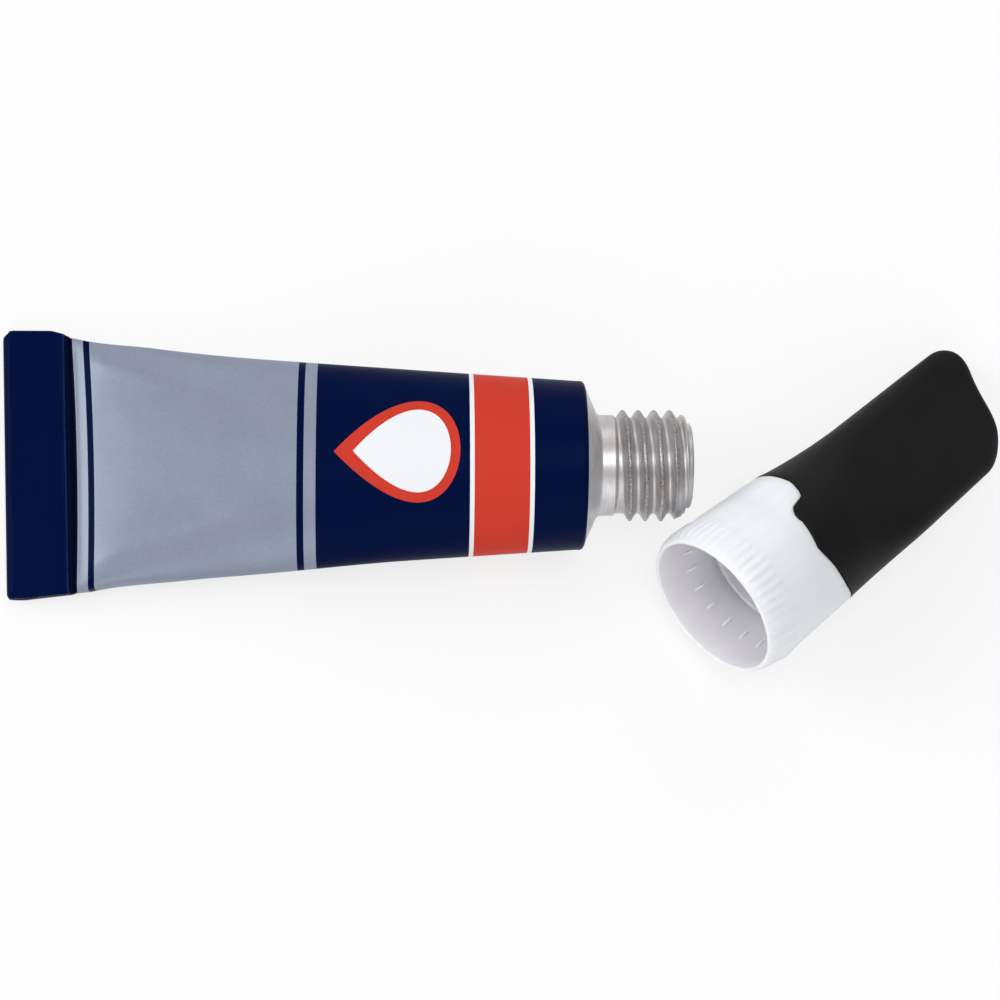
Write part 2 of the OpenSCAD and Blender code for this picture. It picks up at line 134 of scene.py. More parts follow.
def new_material(name, drawn=True):
    """A material with its tree, its shader and the coordinates of its patterns in millimetres.

    A piece that is drawn here carries its own coordinates as laid_mm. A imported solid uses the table's.
    """
    made = bpy.data.materials.new(name)
    made.use_nodes = True
    tree = made.node_tree
    shader = tree.nodes["Principled BSDF"]
    if drawn:
        in_mm = node(tree, "Attribute", {"attribute_name": "laid_mm"}).outputs["Vector"]
    else:
        place = node(tree, "TexCoord").outputs["Object"]
        in_mm = node(tree, "VectorMath", {"operation": "MULTIPLY", 1: (1 / MM,) * 3}, i0=place).outputs[0]
    return made, tree, shader, in_mm


def feed(tree, shader, **sockets):
    """Links sockets into the shader's inputs, with _ for each space in an input's name."""
    for name, socket in sockets.items():
        tree.links.new(socket, shader.inputs[name.replace("_", " ")])


print("a grey of #808080 is", round(linear("#808080")[0], 3), "in linear light")

# %% [markdown]
# ### Enamel print on aluminium
#
# The sleeve is roller-coated with enamel before it is filled: a silver grey and a deep navy with a soft
# gloss. The edges of the colours are straight lines round the tube, so each is a test of the height along
# the axis. The red band and the drop are a plain design.

# %% Enamel colours and masks
NAVY = "#000A30"
NAVY_LIGHT = "#01123D"
SILVER = "#7D8597"
SILVER_LIGHT = "#949CAC"
# Painted shade: near-black navy for the valley beside the flap, standing in for its shadow.
VALLEY_PAINTED_SHADE = "#00020F"
# Painted highlight: pale navy along the flap's rounded edge.
EDGE_PAINTED_HIGHLIGHT = "#24366E"
RED = "#C63C2D"
WHITE = "#E6E8EC"
NAVY_ENDS = ((-9, 5.75), (6.65, 7.15), (23.2, 23.75), (24.7, 60))
BAND_ENDS = (36.7, 41.7)
BAND_LINE = 0.35
DROP_TIP = 27.6
DROP_L = 7.6
DROP_HALF_W = 3.3
DROP_RIM = 0.75
DROP_PEAK = 1.5 * math.sqrt(3)  # brings the widest place of u * sqrt(1 - u) to 1


def between(tree, height, low, high):
    """1 where the height lies between low and high."""
    above = node(tree, "Math", {"operation": "GREATER_THAN", 1: low}, i0=height).outputs[0]
    below = node(tree, "Math", {"operation": "LESS_THAN", 1: high}, i0=height).outputs[0]
    return node(tree, "Math", {"operation": "MULTIPLY"}, i0=above, i1=below).outputs[0]


def drop_mask(tree, height, across, up, tip, length, half_w):
    """1 inside a drop on the upper side: its half width is u * sqrt(1 - u) along its length."""
    u = node(tree, "MapRange", {"clamp": True, 1: tip, 2: tip + length}, i0=height).outputs[0]
    rest = node(tree, "Math", {"operation": "SUBTRACT", 0: 1.0}, i1=u).outputs[0]
    root = node(tree, "Math", {"operation": "SQRT"}, i0=rest).outputs[0]
    wide = node(tree, "Math", {"operation": "MULTIPLY"}, i0=u, i1=root).outputs[0]
    half = node(tree, "Math", {"operation": "MULTIPLY", 1: DROP_PEAK * half_w}, i0=wide).outputs[0]
    size = node(tree, "Math", {"operation": "ABSOLUTE"}, i0=across).outputs[0]
    inside = node(tree, "Math", {"operation": "LESS_THAN"}, i0=size, i1=half).outputs[0]
    upper = node(tree, "Math", {"operation": "GREATER_THAN", 1: 0.0}, i0=up).outputs[0]
    return node(tree, "Math", {"operation": "MULTIPLY"}, i0=inside, i1=upper).outputs[0]


print("drop of", DROP_L, "mm, band of", round(BAND_ENDS[1] - BAND_ENDS[0], 1), "mm")

# %% [markdown]
# The silver holds fine flakes of aluminium, so it is partly a metal and has a grain. Real flakes are some
# hundredths of a millimetre wide and are drawn as coarse as they need to show. The valley beside the flap
# is painted nearly black as painted shade, and the flap's edge is painted pale as a painted highlight. The
# coats are mixed over each other in turn: silver, navy, the painted shade and the painted highlight, and
# last the red and the white.

# %% Enamel print
FLAKE_MM = 0.2
CLOUD_MM = 2.857
FLAKE_SHARE = 0.6
# Where the painted shade in the valley fades in, and how dark it gets.
VALLEY_SHADE_ENDS = (FLAP_Z + 0.05, FLAP_Z + 0.3)
VALLEY_SHADE_SHARE = 0.9
# Where the painted highlight lies along the flap's edge.
EDGE_HIGHLIGHT_ENDS = (FLAP_Z - 0.2, FLAP_Z - 0.06)
ENAMEL_ROUGH = (0.32, 0.46)
ENAMEL_GLOSS = 0.02
SILVER_METALLIC = 0.2


def enamel_print():
    """Roller-coated enamel in navy, silver, red and white."""
    made, tree, shader, in_mm = new_material("enamel_print")
    axes = node(tree, "SeparateXYZ", i0=in_mm).outputs
    across, up, height = axes[0], axes[1], axes[2]
    cloud = node(tree, "TexNoise", {"Scale": 1 / CLOUD_MM, "Detail": 3.0}, Vector=in_mm).outputs["Fac"]
    flake = node(tree, "TexNoise", {"Scale": 1 / FLAKE_MM, "Detail": 2.0}, Vector=in_mm).outputs["Fac"]
    less = node(tree, "Math", {"operation": "MULTIPLY", 1: 1 - FLAKE_SHARE}, i0=cloud).outputs[0]
    tone = node(tree, "Math", {"operation": "MULTIPLY_ADD", 1: FLAKE_SHARE}, i0=flake, i2=less).outputs[0]
    silver_tones = {"data_type": "RGBA", 6: linear(SILVER), 7: linear(SILVER_LIGHT)}
    silver = node(tree, "Mix", silver_tones, i0=tone).outputs[2]
    navy_tones = {"data_type": "RGBA", 6: linear(NAVY), 7: linear(NAVY_LIGHT)}
    deep = node(tree, "Mix", navy_tones, i0=tone).outputs[2]
    navy = between(tree, height, *NAVY_ENDS[0])
    for low, high in NAVY_ENDS[1:]:
        part = between(tree, height, low, high)
        navy = node(tree, "Math", {"operation": "MAXIMUM"}, i0=navy, i1=part).outputs[0]
    colour = node(tree, "Mix", {"data_type": "RGBA"}, i0=navy, i6=silver, i7=deep).outputs[2]

    # Painted shade in the valley beside the flap, fading in past the flap's edge.
    valley_shade_ramp = node(tree, "MapRange", {1: VALLEY_SHADE_ENDS[0], 2: VALLEY_SHADE_ENDS[1], 3: 0.0, 4: VALLEY_SHADE_SHARE}, i0=height).outputs[0]
    beside = between(tree, height, 0, NAVY_ENDS[0][1])
    painted_valley_shade = node(tree, "Math", {"operation": "MULTIPLY"}, i0=valley_shade_ramp, i1=beside).outputs[0]
    # Painted highlight on the flap's edge, broken up by the flake noise.
    edge = between(tree, height, *EDGE_HIGHLIGHT_ENDS)
    painted_edge_highlight = node(tree, "Math", {"operation": "MULTIPLY"}, i0=edge, i1=flake).outputs[0]
    low, high = BAND_ENDS
    band_rim = between(tree, height, low, high)
    band = between(tree, height, low + BAND_LINE, high - BAND_LINE)
    rim_tip, rim_l = DROP_TIP - 2 * DROP_RIM, DROP_L + 3 * DROP_RIM
    drop_rim = drop_mask(tree, height, across, up, rim_tip, rim_l, DROP_HALF_W + DROP_RIM)
    drop = drop_mask(tree, height, across, up, DROP_TIP, DROP_L, DROP_HALF_W)
    coats = ((painted_valley_shade, VALLEY_PAINTED_SHADE), (painted_edge_highlight, EDGE_PAINTED_HIGHLIGHT), (band_rim, WHITE), (band, RED),
             (drop_rim, RED), (drop, WHITE))
    for mask, coat in coats:
        colour = node(tree, "Mix", {"data_type": "RGBA", 7: linear(coat)}, i0=mask, i6=colour).outputs[2]

    rough = node(tree, "MapRange", {3: ENAMEL_ROUGH[0], 4: ENAMEL_ROUGH[1]}, i0=flake).outputs[0]
    metallic = node(tree, "MapRange", {1: 0.0, 2: 1.0, 3: SILVER_METALLIC, 4: 0.0}, i0=navy).outputs[0]
    bump = node(tree, "Bump", {"Strength": 0.15, "Distance": 0.04 * MM}, Height=flake).outputs[0]
    feed(tree, shader, Base_Color=colour, Roughness=rough, Metallic=metallic, Normal=bump)
    shader.inputs["Specular IOR Level"].default_value = ENAMEL_GLOSS
    return made


ENAMEL = enamel_print()
print("enamel print:", len(ENAMEL.node_tree.nodes), "nodes")

# %% [markdown]
# ### Bare aluminium
#
# The shoulder and the neck are bare metal, turned on a lathe and then handled: pale and half matt, with
# fine rings from the tool. Glue has dried in dark specks on the thread's crests, and handling left warm,
# dull patches. The whole thread is also drawn a little darker and warmer, as painted shade. The rings come
# from a noise that is pressed flat along the axis, the patches from a soft one, and the specks from a noise
# that shows only where the metal stands out as far as the crests. The shoulder is the more tarnished of the
# two, so it is less of a mirror.

# %% Turned aluminium
ALUMINIUM = "#CCCBCE"
DULL = "#B9AFAA"
SCRATCH = "#8F8A89"
DRIED_GLUE = "#453C36"
# Painted shade: a darker, warmer grey laid over the whole thread.
THREAD_PAINTED_SHADE = "#8F8580"
THREAD_SHADE_SHARE = 0.2
TOOL_MARK_MM = 0.11
TOOL_MARK_L = 2.0
PATCH_MM = 1.818
GRIT_MM = 1 / 9
METAL_ROUGH = (0.34, 0.48)
SHOULDER_METALLIC = 0.5
NECK_METALLIC = 0.86


def turned_aluminium():
    """Bare aluminium with tool marks, dull patches and specks of dried glue on the thread."""
    made, tree, shader, in_mm = new_material("turned_aluminium")
    axes = node(tree, "SeparateXYZ", i0=in_mm).outputs
    flat = node(tree, "CombineXYZ", i0=axes[0], i1=axes[1]).outputs[0]
    radius = node(tree, "VectorMath", {"operation": "LENGTH"}, i0=flat).outputs["Value"]
    per_mm = (1 / TOOL_MARK_L, 1 / TOOL_MARK_L, 1 / TOOL_MARK_MM)
    pressed = node(tree, "VectorMath", {"operation": "MULTIPLY", 1: per_mm}, i0=in_mm).outputs[0]
    fine = {"Detail": 3.0, "Roughness": 0.6}
    marks = node(tree, "TexNoise", {"Scale": 1.0, **fine}, Vector=pressed).outputs["Fac"]
    patch = node(tree, "TexNoise", {"Scale": 1 / PATCH_MM, "Detail": 4.0}, Vector=in_mm).outputs["Fac"]
    worn = node(tree, "MapRange", {1: 0.48, 2: 0.7, 3: 0.0, 4: 0.7}, i0=patch).outputs[0]
    line = node(tree, "MapRange", {1: 0.35, 2: 0.62, 3: 0.72, 4: 1.0}, i0=marks).outputs[0]
    metal_tones = {"data_type": "RGBA", 6: linear(ALUMINIUM), 7: linear(DULL)}
    pale = node(tree, "Mix", metal_tones, i0=worn).outputs[2]
    lined = node(tree, "Mix", {"data_type": "RGBA", 6: linear(SCRATCH)}, i0=line, i7=pale).outputs[2]

    crest_range = {1: CREST_R - 0.3, 2: CREST_R - 0.04, 3: 0.0, 4: 1.0}
    high = node(tree, "MapRange", crest_range, i0=radius).outputs[0]
    threaded = between(tree, axes[2], THREAD_Z, LIP_Z - 0.2)
    grit = node(tree, "TexNoise", {"Scale": 1 / GRIT_MM, **fine}, Vector=in_mm).outputs["Fac"]
    speck = node(tree, "MapRange", {1: 0.42, 2: 0.64, 3: 0.02, 4: 0.8}, i0=grit).outputs[0]
    on_crest = node(tree, "Math", {"operation": "MULTIPLY"}, i0=high, i1=threaded).outputs[0]
    glued = node(tree, "Math", {"operation": "MULTIPLY"}, i0=on_crest, i1=speck).outputs[0]
    # Painted shade over the whole thread, a fifth of the way to the darker grey.
    thread_shade = node(tree, "Math", {"operation": "MULTIPLY", 1: THREAD_SHADE_SHARE}, i0=threaded).outputs[0]
    thread_shaded = node(tree, "Mix", {"data_type": "RGBA", 7: linear(THREAD_PAINTED_SHADE)}, i0=thread_shade, i6=lined).outputs[2]
    colour = node(tree, "Mix", {"data_type": "RGBA", 7: linear(DRIED_GLUE)}, i0=glued, i6=thread_shaded).outputs[2]

    rough = node(tree, "MapRange", {3: METAL_ROUGH[0], 4: METAL_ROUGH[1]}, i0=patch).outputs[0]
    bump = node(tree, "Bump", {"Strength": 0.3, "Distance": 0.04 * MM}, Height=marks).outputs[0]
    shine = {1: NECK_Z - 0.15, 2: NECK_Z + 0.1, 3: SHOULDER_METALLIC, 4: NECK_METALLIC}
    metallic = node(tree, "MapRange", shine, i0=axes[2]).outputs[0]
    feed(tree, shader, Base_Color=colour, Roughness=rough, Metallic=metallic, Normal=bump)
    return made


BARE_METAL = turned_aluminium()
print("turned aluminium:", len(BARE_METAL.node_tree.nodes), "nodes")

# %% [markdown]
# ### Polyethylene, black plastic and latex
#
# The nozzle is moulded in natural polyethylene, which is white and lets some light through, so a little
# subsurface scattering softens it, and the melt's flow along the mould left faint streaks. Inside the mouth
# it is painted a darker, warmer grey as painted shade, and the ribs' ends a paler white as painted light. The
# cap is a black plastic with a fine satin grain from the mould, which is really finer and is drawn as coarse
# as it needs to show. The latex that seals the fold dried to a dull tan. One function makes them all, since
# they differ only in colour, grain, gloss and how much light goes in.

# %% Moulded plastics
STREAK_L = 4.0
SCATTER_L = 1.5


def moulded_plastic(name, dark, light, grain_mm, rough_range, scatter, gloss=0.5, streak_mm=4.0, drawn=True):
    """A moulded plastic with faint streaks of tone along the axis, streak_mm wide, and a fine grain."""
    made, tree, shader, in_mm = new_material(name, drawn)
    per_mm = (1 / streak_mm, 1 / streak_mm, 1 / STREAK_L)
    drawn_out = node(tree, "VectorMath", {"operation": "MULTIPLY", 1: per_mm}, i0=in_mm).outputs[0]
    cloud = node(tree, "TexNoise", {"Scale": 1.0, "Detail": 3.0}, Vector=drawn_out).outputs["Fac"]
    colour = node(tree, "Mix", {"data_type": "RGBA", 6: linear(dark), 7: linear(light)}, i0=cloud).outputs[2]
    grain = node(tree, "TexNoise", {"Scale": 1 / grain_mm, "Detail": 2.0}, Vector=in_mm).outputs["Fac"]
    rough = node(tree, "MapRange", {3: rough_range[0], 4: rough_range[1]}, i0=grain).outputs[0]
    bump = node(tree, "Bump", {"Strength": 0.15, "Distance": 0.03 * MM}, Height=grain).outputs[0]
    feed(tree, shader, Base_Color=colour, Roughness=rough, Normal=bump)
    shader.inputs["Specular IOR Level"].default_value = gloss
    if scatter:
        shader.inputs["Subsurface Weight"].default_value = scatter
        shader.inputs["Subsurface Radius"].default_value = (1.0, 1.0, 1.0)
        shader.inputs["Subsurface Scale"].default_value = SCATTER_L * MM
    return made


SMOOTH_MOULD = (0.38, 0.5)
POLYETHYLENE = moulded_plastic("moulded_polyethylene", "#E6E9F1", "#EEF1F7", 0.4, SMOOTH_MOULD, 0.7,
                               streak_mm=0.769)
# Painted shade: the same polyethylene, greyer and warmer, for the inside of the mouth.
INSIDE_PAINTED_SHADE = moulded_plastic("moulded_polyethylene_painted_shade", "#DAD8DD", "#E3E2E6", 0.4, (0.45, 0.6), 0.5,
                         streak_mm=0.769)
# Painted light: the same polyethylene, paler and without scattering, so the ribs' ends show as pale ticks.
PAINTED_LIGHT_RIB = moulded_plastic("moulded_polyethylene_rib_painted_light", "#F2F3F5", "#FAFAFB", 0.4, SMOOTH_MOULD, 0.0)
BLACK_PLASTIC = moulded_plastic("moulded_black_plastic", "#0E0E0E", "#141414", 0.25, (0.5, 0.62), 0.0,
                                gloss=0.14)
SEAL_LATEX = moulded_plastic("sealing_latex", "#A08C68", "#AE9A76", 0.5, (0.6, 0.8), 0.0, drawn=False)
print("plastics:", POLYETHYLENE.name, BLACK_PLASTIC.name, SEAL_LATEX.name)

# %% [markdown]
# ### Foil, steel and glue
#
# Three finishes are hardly seen and kept simple. The foil across the neck is bright and faintly crumpled,
# the drawn steel of the pin is bright and grey, and the glue is clear, so most light passes through it.

# %% Small finishes
TONE_MM = 2 / 3
GLUE_CLEARNESS = 0.9


def small_metal(name, dark, light, roughness, drawn=True):
    """A bright metal with a soft change of tone."""
    made, tree, shader, in_mm = new_material(name, drawn)
    tone = node(tree, "TexNoise", {"Scale": 1 / TONE_MM, "Detail": 4.0}, Vector=in_mm).outputs["Fac"]
    colour = node(tree, "Mix", {"data_type": "RGBA", 6: linear(dark), 7: linear(light)}, i0=tone).outputs[2]
    bump = node(tree, "Bump", {"Strength": 0.4, "Distance": 0.05 * MM}, Height=tone).outputs[0]
    feed(tree, shader, Base_Color=colour, Normal=bump)
    shader.inputs["Metallic"].default_value = 1.0
    shader.inputs["Roughness"].default_value = roughness
    return made


FOIL = small_metal("aluminium_foil", "#BDBCBF", "#D4D3D6", 0.25)
STEEL = small_metal("drawn_steel", "#9A9A9A", "#B4B4B4", 0.3, drawn=False)
GLUE = moulded_plastic("clear_glue", "#E8EDEE", "#F2F5F5", 3.0, (0.05, 0.08), 0.0)
GLUE.node_tree.nodes["Principled BSDF"].inputs["Transmission Weight"].default_value = GLUE_CLEARNESS
print("small finishes:", FOIL.name, STEEL.name, GLUE.name)

# %% [markdown]
# ## Making a mesh from rings
#
# Every piece here is round or nearly so, so each is a row of rings with the same number of points: the skin
# joins each ring to the next, and a fan closes an end. Rings can be bent, ribbed or tilted point by point,
# which a lathe or a modifier can't do as freely.

# %% Rings to a mesh


def skin(name, points, laid, faces, slots, materials, frame_at):
    """A smooth mesh of points in mm, put down in the given frame. laid is kept on it as laid_mm."""
    mesh = bpy.data.meshes.new(name)
    mesh.from_pydata([tuple(frame_at @ (Vector(p) * MM)) for p in points], [], faces)
    for material in materials:
        mesh.materials.append(material)
    mesh.polygons.foreach_set("material_index", slots)
    mesh.polygons.foreach_set("use_smooth", [True] * len(faces))
    places = mesh.attributes.new("laid_mm", "FLOAT_VECTOR", "POINT")
    places.data.foreach_set("vector", [c for p in laid for c in p])
    mesh.update()
    made = bpy.data.objects.new(name, mesh)
    bpy.context.scene.collection.objects.link(made)
    return made


def ring_mesh(name, rings, materials, frame_at, loop=False, mark=None, laid=None):
    """The skin over a row of rings of (x, y, z).

    With loop, the last ring is joined to the first. If not, a fan closes each end. mark(k) picks the material
    between ring k and the next. laid holds the rings as they were before they were bent, so that a print can
    follow the bend.
    """
    n = len(rings[0])
    points = [Vector(p) for ring in rings for p in ring]
    flat = [Vector(p) for ring in (laid or rings) for p in ring]
    faces, slots = [], []
    for k in range(len(rings) if loop else len(rings) - 1):
        here, there = k * n, (k + 1) % len(rings) * n
        for i in range(n):
            j = (i + 1) % n
            faces.append((here + i, here + j, there + j, there + i))
            slots.append(mark(k) if mark else 0)
    for first in () if loop else (0, (len(rings) - 1) * n):
        points.append(sum((points[first + i] for i in range(n)), Vector()) / n)
        flat.append(sum((flat[first + i] for i in range(n)), Vector()) / n)
        for i in range(n):
            j = (i + 1) % n
            face = (first + j, first + i, len(points) - 1)
            faces.append(face if first == 0 else face[::-1])
            slots.append(mark(0 if first == 0 else len(rings) - 2) if mark else 0)
    return skin(name, points, flat, faces, slots, materials, frame_at)


def place_piece(piece, body, slot, *nodes):
    """Rides a piece on its body and hides the solids that it stands for."""
    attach(piece, body)
    if nodes:
        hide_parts(*nodes)
    print(piece.name, len(piece.data.vertices), "points on", body)


# %% [markdown]
# Four small tools shape most rings: an S that leads softly from 0 to 1, a swell that leads there and back, a
# row of even steps, and a line through given points.

# %% Soft steps


def smooth(x, low, high):
    """0 below low, 1 above high, and an even S between them."""
    t = min(1, max(0, (x - low) / (high - low)))
    return t * t * (3 - 2 * t)


def swell(x, ends):
    """0 outside the first and last of four places, 1 between the middle two, and soft on the way."""
    start, full, ebb, end = ends
    return smooth(x, start, full) * (1 - smooth(x, ebb, end))


def steps(low, high, count):
    """count + 1 even steps from low to high."""
    return [low + (high - low) * k / count for k in range(count + 1)]


def on_line(points, x):
    """Height at x of the line through the points."""
    for (x0, y0), (x1, y1) in zip(points, points[1:]):
        if x <= x1:
            return y0 + (y1 - y0) * (x - x0) / (x1 - x0)


print("the S in quarters:", [round(smooth(x, 0, 1), 2) for x in steps(0, 1, 4)])

# %% [markdown]
# ## The tube
#
# The sleeve is round at the shoulder and flat at the fold. Its width follows a straight taper with a short
# flare at the fold, and its upper side is rounder than the side that lies on the table. A round pipe bent
# by a lattice would come close, but two plain curves of width and thickness are easier to fit to the real
# outline.

# %% Sleeve's width and thickness
FAR_HALF_W = FOLD_HALF_W - 0.09
FAR_TAPER = 0.27
FAR_TAPER_ENDS = (3.9, 6.3)
NEAR_HALF_W = FOLD_HALF_W + 0.07
NEAR_TAPER = 0.118
NEAR_TAPER_START = 1.3
FLARE_Z = 4.85
FLARE_SHARE = 0.28
FLARE_POWER = 11
SIDE_SHIFT = 0.3
FAR_SHIFT_ENDS = (4.5, 6.2, 6.6, 12)
NEAR_SHIFT_ENDS = (6, 14, 18, 32)
UPPER_POWER = 0.62
LOWER_POWER = 1


def fold_half_width(z, side):
    """Half the fold's width. The far side, 1, is drawn in by the flap, and the near side, -1, all along."""
    if side > 0:
        start, end = FAR_TAPER_ENDS
        return FAR_HALF_W - FAR_TAPER * max(0, min(z, end) - start)
    return NEAR_HALF_W - NEAR_TAPER * max(0, z - NEAR_TAPER_START)


def half_width(z, side):
    """Half the sleeve's width, which is nowhere more than the fold's next to it."""
    way = min(1, max(0, (RIM_Z - z) / (RIM_Z - FLARE_Z)))
    flared = (1 - FLARE_SHARE) * way + FLARE_SHARE * way ** FLARE_POWER
    wide = TUBE_R + (FOLD_HALF_W - TUBE_R) * flared
    if side > 0:
        wide -= SIDE_SHIFT * swell(z, FAR_SHIFT_ENDS)
    else:
        wide += SIDE_SHIFT * swell(z, NEAR_SHIFT_ENDS)
    return min(wide, fold_half_width(z, side) - 0.03) if z < 9 else wide


def half_thickness(z, power):
    """Half the sleeve's thickness, from the fold's to the tube's. A lower power rises sooner."""
    way = min(1, max(0, (z - FOLD_Z) / (RIM_Z - FOLD_Z)))
    return FOLD_HALF_T + (TUBE_R - FOLD_HALF_T) * way ** power


print("half widths at the fold and half way:", [round(half_width(z, 1), 2) for z in (FOLD_Z, SLEEVE_L / 2)])

# %% [markdown]
# Two soft creases run in from the corners of the fold, with shallow dents between them, and the fold itself
# was pressed a little askew, which pulls the print near it along. Both are added to the points of a ring. A
# ring's points are spread evenly round it, because a flat ring would otherwise have too few at its ends.

# %% Sleeve's rings
RING_N = 180
FINE_N = 720
TURN = [2 * math.pi * i / RING_N for i in range(RING_N)]
CREASE_H = 0.12
CREASE_W = 0.8
CREASE_ENDS = (5.8, 8.5, 10, 22)
DENT_DEPTH = 0.08
SKEW = 0.05
SKEW_ENDS = (6.5, 17)
SKEW_CURVE = 0.0022
SKEW_CURVE_ENDS = (5.0, 5.7)
SLAB_POWER = 0.2


def crease(x, z):
    """Height of the creases that run in from the fold's corners, less the dents between them."""
    middle = half_width(z, x) * (0.84 - 0.025 * (z - 6))
    ridge = math.exp(-((abs(x) - middle) / CREASE_W) ** 2)
    dent = math.exp(-((x - 2.5) / 3.5) ** 2) + 0.6 * math.exp(-((x + 4) / 2.5) ** 2)
    return swell(z, CREASE_ENDS) * (CREASE_H * ridge - DENT_DEPTH * dent)


def askew(point):
    """Moves a point near the fold back on the far side and, by less, forward on the near side."""
    x, y, z = point
    pull = SKEW * x + SKEW_CURVE * x * x * smooth(z, *SKEW_CURVE_ENDS)
    return x, y, z - pull * (1 - smooth(z, *SKEW_ENDS))


def even(outline, count):
    """The same closed outline through count points at equal distances."""
    far = [0.0]
    for p, q in zip(outline, outline[1:] + outline[:1]):
        far.append(far[-1] + math.dist(p, q))
    points, k = [], 0
    for i in range(count):
        goal = far[-1] * i / count
        while far[k + 1] < goal:
            k += 1
        t = (goal - far[k]) / (far[k + 1] - far[k])
        p, q = outline[k], outline[(k + 1) % len(outline)]
        points.append([u + (v - u) * t for u, v in zip(p, q)])
    return points


def sleeve_ring(z, inset):
    """Ring of the sleeve: a flat slab at the fold that rounds into a circle at the rim."""
    power = SLAB_POWER + (1 - SLAB_POWER) * smooth(z, 5, 20)
    outline = []
    for k in range(FINE_N):
        c, s = math.cos(2 * math.pi * k / FINE_N), math.sin(2 * math.pi * k / FINE_N)
        thick = half_thickness(z, UPPER_POWER if s > 0 else LOWER_POWER)
        x = (half_width(z, c) - inset) * math.copysign(abs(c) ** power, c)
        y = (thick - inset) * math.copysign(abs(s) ** power, s)
        outline.append((x, y))
    ring = []
    for x, y in even(outline, RING_N):
        lift = crease(x, z) * smooth(y, 0.2, 0.6) if y > 0 else 0
        ring.append((x, y + lift, z))
    return ring


ring = sleeve_ring(FOLD_Z, 0)
girth = sum(math.dist(p, q) for p, q in zip(ring, ring[1:] + ring[:1]))
print("girth at the fold", round(girth, 1), "mm, at the rim", round(2 * math.pi * TUBE_R, 1), "mm")

# %% [markdown]
# The neck's thread is a rounded ridge that climbs one pitch a turn. A screw modifier makes a thread too,
# but its ends stay blunt and it is a skin of its own. Here each point asks how far it is from the nearest
# turn of the ridge, so the thread can fade in at its start, end in a chamfer and stay part of the neck.

# %% Neck and thread
THREAD_START = THREAD_Z + 0.25
THREAD_TURN = math.radians(253)
RIDGE_HALF_W = 0.58
CHAMFER_Z = 52.8
CHAMFER_SLOPE = 0.45


def nearest_turn(a, z, start, start_turn):
    """Height, at an angle, of the thread's turn nearest to z. It passes start at the angle start_turn."""
    lead = (a - start_turn) / (2 * math.pi)
    return start + PITCH * (round((z - start) / PITCH - lead) + lead)


def thread_height(a, z):
    """Part of the thread's depth, 0 to 1, at an angle and a height."""
    centre = nearest_turn(a, z, THREAD_START, THREAD_TURN)
    fade = smooth(centre, THREAD_START - 0.2, THREAD_START + 0.3)
    away = abs(z - centre)
    return fade * (0.5 + 0.5 * math.cos(math.pi * min(1, away / RIDGE_HALF_W)))


def neck_radius(a, z):
    """Outer radius of the neck past the shoulder's cone, with a chamfer at the thread's end."""
    core = NECK_R + (ROOT_R - NECK_R) * smooth(z, THREAD_Z - 0.15, THREAD_Z + 0.15)
    core -= 0.12 * smooth(z, LIP_Z - 0.35, LIP_Z - 0.1)
    if z < THREAD_Z - 0.3:
        return core
    thread = ROOT_R + (CREST_R - ROOT_R) * thread_height(a, z)
    return max(core, min(thread, CREST_R - CHAMFER_SLOPE * max(0, z - CHAMFER_Z)))


print("turns of thread:", round((CHAMFER_Z - THREAD_START) / PITCH, 1))

# %% [markdown]
# The shoulder, the neck and its thread follow the sleeve in the same row of rings, and then the row turns
# back inside, so the tube is one closed skin of metal. Its print ends on the shoulder's edge.

# %% Tube shell
SLEEVE_RINGS = 100
CROWDING = 1.3  # above 1, the rings stand closer together near the fold
SLEEVE_START_Z = FLAP_Z - 0.6
BORE_R = 2.6
FOIL_SEAT_R = 2.95
FOIL_SEAT_Z = NECK_END_Z - 0.5


def turned_ring(r, z, angles=TURN):
    return [(r * math.cos(a), r * math.sin(a), z) for a in angles]


rings = []
for k in range(SLEEVE_RINGS + 1):
    rings.append(sleeve_ring(SLEEVE_START_Z + (RIM_Z - SLEEVE_START_Z) * (k / SLEEVE_RINGS) ** CROWDING, 0))
shoulder = ((TUBE_R, SLEEVE_L - 0.3), (TUBE_R - 0.03, SLEEVE_L - 0.12), (TUBE_R - 0.12, SLEEVE_L),
            (TUBE_R - 0.24, SLEEVE_L + 0.06), (TUBE_R - 0.3, SLEEVE_L + 0.085))
rings += [turned_ring(r, z) for r, z in shoulder]
print_end = len(rings) - 1
cone = ((TUBE_R - 0.36, SLEEVE_L + 0.11), (6.0, SLEEVE_L + 0.27), (5.2, SLEEVE_L + 0.62),
        (4.4, NECK_Z - 0.18), (4.26, NECK_Z - 0.1), (4.14, NECK_Z), (4.07, NECK_Z + 0.1),
        (NECK_R + 0.01, NECK_Z + 0.18))
rings += [turned_ring(r, z) for r, z in cone]
for z in steps(NECK_Z + 0.25, LIP_Z - 0.1, 180):
    rings.append([(neck_radius(a, z) * math.cos(a), neck_radius(a, z) * math.sin(a), z) for a in TURN])
lip = ((3.6, LIP_Z - 0.04), (LIP_R + 0.03, LIP_Z), (LIP_R, LIP_Z + 0.05), (LIP_R, NECK_END_Z - 0.16),
       (LIP_R - 0.04, NECK_END_Z - 0.06), (LIP_R - 0.12, NECK_END_Z), (3.0, NECK_END_Z),
       (FOIL_SEAT_R, NECK_END_Z - 0.04), (FOIL_SEAT_R, FOIL_SEAT_Z), (BORE_R, FOIL_SEAT_Z),
       (BORE_R, NECK_Z - 0.45), (6.5, SLEEVE_L - 0.45))
rings += [turned_ring(r, z) for r, z in lip]
rings += [sleeve_ring(z, WALL) for z in reversed(steps(FOLD_Z + 0.6, RIM_Z, 40))]
bent = [[askew(p) for p in ring] for ring in rings]
